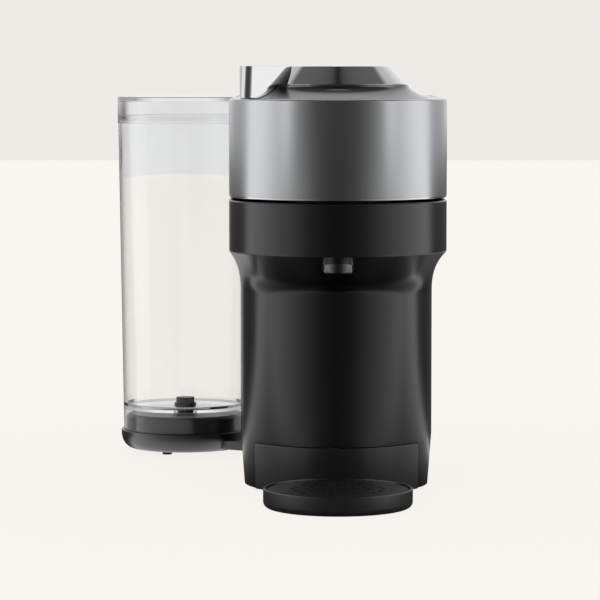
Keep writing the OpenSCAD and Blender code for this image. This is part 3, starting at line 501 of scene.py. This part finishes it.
bm = bmesh.new()
outline(bm, col_r, col_y, split_y, foot_h)
raised_wall(bm)
for side in (-1, 1):
    cut(bm, (side * (drawer_half + drawer_gap), 0, 0), (1, 0, 0))
cut(bm, (0, 0, drawer_top + drawer_gap), (0, 0, 1))
drop(bm, lambda c: abs(c.x) < drawer_half + drawer_gap and c.z < drawer_top + drawer_gap and c.y < col_y)
for v in bm.verts:
    column_shape(v.co)
closed_up(bm, fill=False)
piece("column_front_skin", bm, "housing", "gloss_black", ["column_front"], shell=wall, bevel=0.0005)

bm = bmesh.new()
outline(bm, col_r, split_y, rear_y, foot_h, front=False)
raised_wall(bm)
for z in (vent_z0, vent_z1, slot_top):
    cut(bm, (0, 0, z), (0, 0, 1))
for i in range(-vents, vents + 1):
    for side in (-0.5, 0.5):
        cut(bm, ((i * 2 + side) * vent_w, 0, 0), (1, 0, 0))
window = math.radians(swing_deg + slot_spare_deg)
for side in (-1, 1):
    along = Vector((side * math.sin(window), math.cos(window), 0))
    cut(bm, (0, rear_y, 0), (along.y, -along.x, 0))
drop(bm, lambda c: c.y > rear_y + 30 * mm and vent_z0 < c.z < vent_z1 and any(
    abs(c.x - i * 2 * vent_w) < vent_w / 2 for i in range(-vents, vents + 1)))
drop(bm, lambda c: c.z < slot_top and c.y > rear_y and abs(math.atan2(c.x, c.y - rear_y)) < window)
for v in bm.verts:
    column_shape(v.co)
closed_up(bm, fill=False)
piece("column_rear_skin", bm, "housing", "gloss_black", ["column_rear"], shell=wall, bevel=0.0004)

# ------------------------------------------------------------------ head


def ringed(r_in, r_out, z0, z1, chamfer):
    """Section of an upright wall with its outer edges cut off."""
    return [(r_in, z0), (r_out - chamfer, z0), (r_out, z0 + chamfer), (r_out, z1 - chamfer),
            (r_out - chamfer, z1), (r_in, z1)]


plate_t = 2.5 * mm
floor_plate = bmesh.new()
outline(floor_plate, head_r - head_wall, head_y, split_y, band_z0)
outline(floor_plate, head_r - head_wall, split_y, rear_y, band_z0, front=False)
bmesh.ops.remove_doubles(floor_plate, verts=floor_plate.verts, dist=weld)
for r, y in ((13.5 * mm, head_y), (7 * mm, 0.0)):
    where = Matrix.Translation((0, y, band_z0))
    bmesh.ops.create_circle(floor_plate, segments=48, radius=r, matrix=where)
bmesh.ops.triangle_fill(floor_plate, edges=floor_plate.edges[:], use_beauty=True)
up = bmesh.ops.extrude_face_region(floor_plate, geom=floor_plate.faces[:])["geom"]
moved(floor_plate, up, (0, 0, plate_t))
bmesh.ops.recalc_face_normals(floor_plate, faces=floor_plate.faces)
tube_wall = turned([(11 * mm, band_z0 + plate_t), (13.5 * mm, band_z0 + plate_t),
                    (13.5 * mm, band_z0 + 7 * mm), (11 * mm, band_z0 + 7 * mm)], (0, head_y), 64)
band = stadium(ringed(head_r - head_wall, head_r, band_z0, band_z1, 0.8 * mm), head_y, rear_y)
piece("head_band_skin", together(band, floor_plate, tube_wall), "housing", "gloss_black",
      ["head_band"], bevel=0.0005)

# lid: a plan drawn up, open below, walled, with its two hinge knuckles
lid = plan_solid(head_r, head_y, lid_rear, lid_z0 + 1.5 * mm, lid_z1)
rim = [e for e in lid.edges if all(v.co.z > lid_z1 - 1e-6 for v in e.verts)]
bmesh.ops.bevel(lid, geom=rim, offset=1.5 * mm, segments=5, profile=0.5, affect="EDGES", material=-1)
drop(lid, lambda c: c.z < lid_z0 + 1.6 * mm)
piece("lid_skin", lid, "lid", "silver", ["lid_shell"], shell=head_wall, bevel=0.0003, angle=40)
knuckles = [rod(x0, x1, hinge_y, hinge_z, knuckle_r, pin_r) for x0, x1 in lid_spans]
lid_webs = [block(x0, x1, lid_rear - 0.5 * mm, hinge_y - 3 * mm, hinge_z - web_half, hinge_z + web_half)
            for x0, x1 in lid_spans]
piece("lid_knuckles", together(*knuckles, *lid_webs), "lid", "silver", bevel=0.0003)
lip_r, lip_in, lip_z1 = head_r - 0.3 * mm, head_r - 1.6 * mm, lid_z0 + 1.5 * mm
lip = [(lip_in, lid_z0), (lip_r - 0.5 * mm, lid_z0), (lip_r, lid_z0 + 0.4 * mm), (lip_r, lip_z1), (lip_in, lip_z1)]
piece("lid_lip_skin", u_shape(lip, head_y, lid_rear), "lid", "lip", ["lid_lip"], bevel=0.00015)

# rear cover: the same silver wall round the rear, stepped down under the hinge
cover = u_shape([(head_r - head_wall - 1 * mm, band_z1), (head_r - 2 * mm, band_z1), (head_r - 2 * mm, lid_z0),
                 (head_r, lid_z0), (head_r, lid_z1 - 1.5 * mm), (head_r - 0.5 * mm, lid_z1 - 0.5 * mm),
                 (head_r - 1.5 * mm, lid_z1), (head_r - head_wall - 1 * mm, lid_z1)],
                cover_front, rear_y, front=False)
cut(cover, (0, hinge_y + 3 * mm, 0), (0, 1, 0))
cut(cover, (0, 0, step_z), (0, 0, 1))
drop(cover, lambda c: c.z > step_z and c.y < hinge_y + 3 * mm)
closed_up(cover)
inner = head_r - head_wall
top = plan_solid(inner, cover_step, rear_y, lid_z1 - head_wall, lid_z1, front=False)
front_wall = block(-inner, inner, cover_front, cover_front + head_wall, band_z1, step_z)
step = block(-inner, inner, cover_front, cover_step + head_wall, step_z - head_wall, step_z)
riser = block(-inner, inner, cover_step, cover_step + head_wall, step_z - head_wall, lid_z1 - 0.2 * mm)
fixed = [rod(x0, x1, hinge_y, hinge_z, knuckle_r, pin_r) for x0, x1 in cover_spans]
webs = [block(x0, x1, hinge_y + 3 * mm, cover_step + 1 * mm, hinge_z - web_half, hinge_z + web_half)
        for x0, x1 in cover_spans]
piece("rear_cover_skin", together(cover, top, front_wall, step, riser, *fixed, *webs), "housing", "silver",
      ["rear_cover"], bevel=0.0003, angle=40)

# ------------------------------------------------------------------ collar, knob, lever and button


def collar_at(k):
    """Radius of the collar's hollow flank, from its foot at 0 to its top at 1."""
    return collar_top_r + (collar_foot_r - collar_top_r) * (1 - k) ** 1.8


steps = 18
rise = collar_top - lid_z1
outer = [(collar_at(i / steps), lid_z1 + rise * i / steps) for i in range(steps + 1)]
under = [(max(41.6 * mm, collar_at(i / steps) - 4 * mm), lid_z1 + (rise - 2 * mm) * i / steps)
         for i in range(steps - 1, -1, -1)]
piece("collar_skin", turned(outer + [(41.4 * mm, collar_top), (41.4 * mm, collar_top - 2 * mm)] + under,
                            (0, head_y), 160), "lid", "collar", ["lid_collar"], bevel=0.0003, angle=40)

knob = [(31.05 * mm, collar_top + 0.3 * mm), (knob_base_r, collar_top + 0.3 * mm), (knob_top_r, knob_top),
        (23.5 * mm, knob_top), (23.5 * mm, knob_top - 2 * mm), (31.05 * mm, 276.0 * mm)]
piece("knob_skin", turned(knob, (0, head_y), 160), "lever", "chrome", ["lock_knob"], bevel=0.0005, segments=4)

# the lever: a section about the knob's axis, spun over its fan, its outer end made flat
seat_gap, knob_gap, corner_steps = 0.6 * mm, 0.05 * mm, 12
half_turn = math.radians(59.75)  # half of what an outer corner turns through
lean_end, lean_corner, lean_side = 0.85 * mm, 1.46 * mm, 0.98 * mm
bm = bmesh.new()
low = lid_z1 + seat_gap
seat = [(collar_at((z - lid_z1) / rise) + seat_gap, z)
        for z in [low + (collar_top - low) * i / 6 for i in range(7)]]
ring = [(lever_reach, low)] + seat + [(collar_top_r + seat_gap, collar_top + 0.3 * mm),
                                      (knob_base_r + knob_gap, collar_top + 0.3 * mm),
                                      (knob_top_r + knob_gap, knob_top), (lever_reach, knob_top)]
geom = section(bm, [(-r * math.cos(lever_angle), head_y - r * math.sin(lever_angle), z) for r, z in ring])
spun(bm, geom, (0, head_y), -2 * lever_angle, 30)
closed_up(bm)
for v in bm.verts:
    away = Vector((v.co.x, v.co.y - head_y))
    if away.length > lever_reach - 0.1 * mm:
        scale = lever_reach / abs(away.x)
        v.co.x, v.co.y = away.x * scale, head_y + away.y * scale
bmesh.ops.dissolve_limit(bm, angle_limit=0.01, verts=bm.verts[:], edges=bm.edges[:])
bmesh.ops.recalc_face_normals(bm, faces=bm.faces)
half_end = lever_reach * math.tan(lever_angle)
corner = [e for e in bm.edges if abs(e.verts[0].co.z - e.verts[1].co.z) > 10 * mm
          and all(abs(v.co.x + lever_reach) < 1e-6 and abs(abs(v.co.y - head_y) - half_end) < 1e-6
                  for v in e.verts)]
bmesh.ops.bevel(bm, geom=corner, offset=lever_corner * math.tan(half_turn), segments=corner_steps,
                profile=0.5, affect="EDGES", material=-1)
corner_x = lever_reach - lever_corner
corner_y = (corner_x * math.sin(lever_angle) - lever_corner) / math.cos(lever_angle)
for v in bm.verts:
    # true round corners
    if v.co.x < -55.1 * mm and abs(v.co.y - head_y) > 26.9 * mm:
        centre = Vector((-corner_x, head_y + math.copysign(corner_y, v.co.y - head_y)))
        v.co.x, v.co.y = centre + (v.co.xy - centre).normalized() * lever_corner
for v in bm.verts:
    # the outer walls lean in a little towards the top
    up = (v.co.z - low) / (knob_top - low)
    away = Vector((v.co.x, v.co.y - head_y))
    if away.x < -55.1 * mm and abs(away.y) > 26.4 * mm:
        v.co.x += lean_end * up
        v.co.y -= math.copysign(lean_corner * up, away.y)
    elif abs(away.y) > abs(away.x) * math.tan(lever_angle) - 0.05 * mm:
        v.co.y -= math.copysign(lean_side * up, away.y)
piece("lever_skin", bm, "lever", "chrome", ["lock_lever"], bevel=0.0006, segments=4)

button_r, button_z0, button_z1 = 19.9 * mm, 276.7 * mm, 281.2 * mm
button = [(0, button_z0), (button_r, button_z0), (button_r, button_z1 - 0.7 * mm), (19.2 * mm, button_z1),
          (16.5 * mm, button_z1), (0, button_z1 - 0.6 * mm)]
piece("button_skin", turned(button, (0, head_y), 128), "button", "alloy", ["start_button"], bevel=0.00025)

# ------------------------------------------------------------------ drip base

tray = turned([(0, 0)] + arc(tray_r, 0, tray_edge, tray_edge)
              + [(tray_r, tray_h), (tray_r - tray_wall, tray_h), (tray_r - tray_wall, tray_wall), (0, tray_wall)],
              steps=160)
drawer = bmesh.new()
start = math.asin(drawer_half / col_r)
right = drawer.verts.new((drawer_half, col_y - math.cos(start) * col_r, foot_h))
left = points_of(spun(drawer, [right], (0, col_y), -2 * start, 48))[0]
back = [drawer.verts.new((x, drawer_back, foot_h)) for x in (-drawer_half, drawer_half)]
for pair in ((left, back[0]), (back[0], back[1]), (back[1], right)):
    drawer.edges.new(pair)
face = bmesh.ops.contextual_create(drawer, geom=drawer.edges[:])["faces"]
up = bmesh.ops.extrude_face_region(drawer, geom=face)["geom"]
moved(drawer, up, (0, 0, drawer_top - foot_h))
bmesh.ops.recalc_face_normals(drawer, faces=drawer.faces)
top_face = [f for f in drawer.faces if f.normal.z > 0.9]
bmesh.ops.inset_region(drawer, faces=top_face, thickness=wall, use_even_offset=True)
well = bmesh.ops.extrude_face_region(drawer, geom=top_face)["geom"]
bmesh.ops.delete(drawer, geom=top_face, context="FACES")
moved(drawer, well, (0, 0, foot_h + tray_wall - drawer_top))
for v in drawer.verts:
    # the front follows the column's taper
    taper = (col_foot_r + (col_r - col_foot_r) * (v.co.z - foot_h) / (foot_taper - foot_h)) / col_r
    if v.co.y < col_y - 10 * mm:
        v.co.y = col_y + (v.co.y - col_y) * taper
bmesh.ops.recalc_face_normals(drawer, faces=drawer.faces)
neck = block(-24 * mm, 24 * mm, 46.2 * mm, 58 * mm, foot_h, tray_h - 0.8 * mm)
piece("drip_base_skin", together(tray, drawer, neck), "drawer", "tray", ["drip_base"], bevel=0.0005)

# ------------------------------------------------------------------ outlet

spout_r, spout_bore, spout_z0, spout_z1 = 9.9 * mm, 3.5 * mm, 149.6 * mm, 163 * mm
spout = [(spout_bore, spout_z0 + 0.8 * mm), (5.2 * mm, spout_z0), (7.6 * mm, spout_z0),
         (9.3 * mm, spout_z0 + 1.0 * mm), (spout_r, spout_z0 + 2.6 * mm), (spout_r, spout_z1), (5 * mm, spout_z1),
         (5 * mm, spout_z1 + 2.5 * mm), (spout_bore, spout_z1 + 2.5 * mm)]
piece("spout_skin", turned(spout, steps=96), "housing", "outlet", ["coffee_spout"])

# ------------------------------------------------------------------ tank, its lid and its dish



def round_the_tank(points):
    """A section in millimetres turned about the tank's middle."""
    return turned([(r * mm, z * mm) for r, z in points], tank, 160)


tank_points = [(43.4, 17.2), (44.8, 17.2), (48.2, 240.5), (48.6, 240.5), (48.6, 245.9), (46.2, 245.9),
               (46.2, 240.5), (43.1, 36.5), (41.4, 34.5), (6, 34.5), (6, 32.5), (43.4, 32.5)]
piece("tank_skin", round_the_tank(tank_points), "tank", "clear", ["water_tank"], bevel=0.0003, angle=25)
lid_points = [(0, 256.1), (43.6, 256.1), (43.6, 240.5), (45.6, 240.5), (45.6, 245.9), (48.6, 245.9),
              (48.6, 259.1), (48.2, 259.5), (0, 259.5)]
piece("tank_lid_skin", round_the_tank(lid_points), "tank_lid", "clear", ["tank_lid"])

dish = round_the_tank([(0, 3.3)] + arc(46.7, 3.3, 8.7, 11.2) + [(46.7, 17), (43.9, 17)]
                      + arc(43.9, 7.3, 5.9, 7.7)[::-1] + [(0, 7.3)])
hub = turned([(8.1 * mm, arm_z), (20 * mm, arm_z), (20 * mm, arm_z + arm_t), (8.1 * mm, arm_z + arm_t)],
             (0, rear_y), 96)
arm = block(-arm_w / 2, arm_w / 2, 10 * mm, arm_len - 38.8 * mm, arm_z, arm_z + arm_t)
bmesh.ops.rotate(arm, verts=arm.verts, cent=(0, 0, 0), matrix=Matrix.Rotation(swing, 3, "Z"))
bmesh.ops.translate(arm, verts=arm.verts, vec=(0, rear_y, 0))
piece("dish_and_arm", together(dish, hub, arm), "arm", "tray", ["tank_arm"], bevel=0.0006)

plinth_points = [(38, 7.3), (38, 12), (42.9, 12), (42.9, 27), (40.9, 29), (3.4, 29), (3.4, 26.6),
                 (34.6, 26.6), (34.6, 7.3)]
piece("plinth_skin", round_the_tank(plinth_points), "arm", "plinth", ["tank_plinth"], bevel=0.0006)

# ------------------------------------------------------------------ carried pieces and their finishes

carried = {
    "black": [
        "base_plate", "inner_deck", "lid_liner", "injection_housing", "button_tower", "coffee_collector",
        "code_reader", "cord_gland", "tank_valve",
    ],
    "tray": ["cup_grid"],
    "grey_plastic": ["capsule_holder", "injection_plate"],
    "rubber": [
        "body_feet", "arm_feet", "pump_mounts", "capsule_seal", "valve_seal", "tank_coupling", "drive_belt",
    ],
    "white_plastic": ["flow_meter"],
    "steel": [
        "hinge_pin", "base_screws", "rotor_bearing", "injection_bearing", "piercing_needles", "motor_bracket",
        "water_pump", "drive_motor", "button_spring", "lock_ring", "motor_pulley",
    ],
    "alloy": ["water_heater", "rotor_pulley"],
    "board": ["control_board", "power_board", "button_board"],
    "light": ["button_light"],
    "silicone": ["water_hoses", "lid_hose"],
}
for finish, nodes in carried.items():
    for node in nodes:
        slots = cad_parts[node].data.materials
        slots.clear()
        slots.append(finishes[finish])

# ------------------------------------------------------------------ studio

floor_half = 7.33
camera_lens, camera_place, camera_down_deg = 190.2, (-0.0243, -2.0154, 0.283), 4.258


def towards(x, y):
    """0 straight in front of the machine, 1 straight behind it."""
    away = (x * x + y * y).max(0.000001) ** 0.5
    return (y / away) * 0.5 + 0.5


def band_of_light(tree, turn, stops):
    """Brightness round the horizon, from front to back."""
    ramp = tree.add("ShaderNodeValToRGB", {"stops": [(at, grey(level)) for at, level in stops]}, Fac=turn)
    return tree.add("ShaderNodeRGBToBW", Color=ramp)


# brightness by direction, level with the machine, above it, and overhead
horizon = [(0.0, 0.025), (0.03, 0.06), (0.117, 0.26), (0.25, 0.5), (0.413, 0.85), (0.587, 1.15), (0.655, 1.2),
           (0.69, 0.35), (0.74, 0.05), (0.85, 0.04), (1.0, 0.1)]
raised = [(0.0, 0.05), (0.05, 0.08), (0.117, 0.22), (0.175, 0.45), (0.195, 1.0), (0.24, 1.0), (0.29, 0.7),
          (0.4, 0.95), (0.5, 1.1), (0.65, 1.1), (0.72, 0.55), (0.88, 0.55), (1.0, 0.97)]
zenith = [(0.0, 0.02), (0.5, 0.1), (0.7, 0.12), (1.0, 0.15)]


def ray_kinds(tree):
    """How the ray got here; through glass and off a mirror counts mostly as off the mirror."""
    rays = tree.tree.nodes.new("ShaderNodeLightPath")
    kind = {name: Val(tree.tree, rays.outputs["Is %s Ray" % name]) for name in ("Camera", "Glossy", "Transmission")}
    mirrors = Val(tree.tree, rays.outputs["Glossy Depth"]).clamp()
    kind["Transmission"] = kind["Transmission"] * (1.0 - mirrors * 0.6)
    return kind


def split(tree, vector):
    """The three numbers of a vector."""
    n = tree.tree.nodes.new("ShaderNodeSeparateXYZ")
    tree.tree.links.new(vector.socket, n.inputs[0])
    return [Val(tree.tree, n.outputs[i]) for i in range(3)]


def studio():
    """A dark room in front, bright screens at both sides, a pale wall behind and a dark ceiling."""
    world = bpy.data.worlds.new("studio")
    bpy.context.scene.world = world
    world.use_nodes = True
    w = Nodes(world.node_tree)
    x, y, z = split(w, w.add("ShaderNodeTexCoord", out=0))
    turn = towards(x, y)
    low, high, top = (band_of_light(w, turn, stops) for stops in (horizon, raised, zenith))
    rise = ((z + 0.018 - (0.62 - turn).max(0.0) * 0.07) / (0.012 + (0.65 - turn).max(0.0) * 0.07)).clamp()
    roof = ((z - 0.58 - ((turn - 0.72) / 0.28).clamp() * 0.22) / 0.12).clamp()
    mirrored = low + (high - low) * rise
    mirrored = mirrored + (top - mirrored) * roof
    wall_behind = ((y - 0.86) / 0.1).clamp().max(((z - 0.12) / 0.2).clamp())
    through = wall_behind * 0.5 + 0.33
    soft = 0.78 + z * 0.14
    kind = ray_kinds(w)
    plain = soft + (mirrored - soft) * kind["Glossy"]
    plain = plain + (through - plain) * kind["Transmission"]
    seen = w.add("ShaderNodeMix", {"data_type": "RGBA"}, out=2, i0=kind["Camera"],
                 i6=w.add("ShaderNodeCombineColor", i0=plain, i1=plain, i2=plain), i7=(0.855, 0.823, 0.797, 1))
    back = w.add("ShaderNodeBackground", Color=seen, Strength=1.0)
    out = w.tree.nodes.new("ShaderNodeOutputWorld")
    w.tree.links.new(back.socket, out.inputs["Surface"])


def floor_finish():
    """Pale floor that keeps the shadow; polished parts see it as dark in front as the room is."""
    material = bpy.data.materials.new("floor")
    material.use_nodes = True
    f = Nodes(material.node_tree)
    x, y, z = split(f, f.place())
    beside = ((y + 0.05) / 0.1).clamp() * (1.0 - ((y - 0.2) / 0.2).clamp())
    mirrored = band_of_light(f, towards(x, y - 0.05 - beside * 0.3), horizon)
    kind = ray_kinds(f)
    bounced = kind["Glossy"] * (1.0 - kind["Transmission"])
    pale = f.add("ShaderNodeMix", {"data_type": "RGBA"}, out=2, i0=bounced, i6=(0.973, 0.939, 0.896, 1),
                 i7=f.add("ShaderNodeCombineColor", i0=mirrored, i1=mirrored, i2=mirrored))
    shade = f.add("ShaderNodeBsdfDiffuse", Color=(0.86, 0.83, 0.80, 1))
    glow = f.add("ShaderNodeEmission", Color=pale, Strength=1.0)
    mix = (kind["Camera"].max(kind["Transmission"]) * 0.9).max(bounced * 0.97)
    both = f.add("ShaderNodeMixShader", i0=mix, i1=shade, i2=glow)
    out = f.tree.nodes.new("ShaderNodeOutputMaterial")
    f.tree.links.new(both.socket, out.inputs["Surface"])
    return material


def floor():
    """A wide flat counter; its far edge is the horizon."""
    bm = bmesh.new()
    bmesh.ops.create_grid(bm, x_segments=1, y_segments=1, size=floor_half)
    mesh = bpy.data.meshes.new("floor")
    bm.to_mesh(mesh)
    bm.free()
    obj = bpy.data.objects.new("floor", mesh)
    bpy.context.collection.objects.link(obj)
    mesh.materials.append(floor_finish())


def softbox(name, place, aim, wide, high, power):
    """A rectangular lamp turned to a point."""
    light = bpy.data.lights.new(name, "AREA")
    light.shape = "RECTANGLE"
    light.size, light.size_y, light.energy = wide, high, power
    obj = bpy.data.objects.new(name, light)
    bpy.context.collection.objects.link(obj)
    obj.location = place
    obj.rotation_euler = (Vector(aim) - Vector(place)).to_track_quat("-Z", "Y").to_euler()


def camera():
    """A long lens from far in front, a little above."""
    data = bpy.data.cameras.new("camera")
    obj = bpy.data.objects.new("camera", data)
    bpy.context.collection.objects.link(obj)
    data.sensor_width = 36.0
    data.lens = camera_lens
    data.clip_start, data.clip_end = 0.05, 60.0
    obj.location = camera_place
    obj.rotation_euler = (math.radians(90.0 - camera_down_deg), 0.0, 0.0)
    bpy.context.scene.camera = obj


studio()
floor()
softbox("overhead", (0.0, 0.15, 1.9), (0.0, 0.02, 0.26), 0.4, 0.3, 0.2)
camera()
bpy.context.scene.view_settings.view_transform = "Standard"
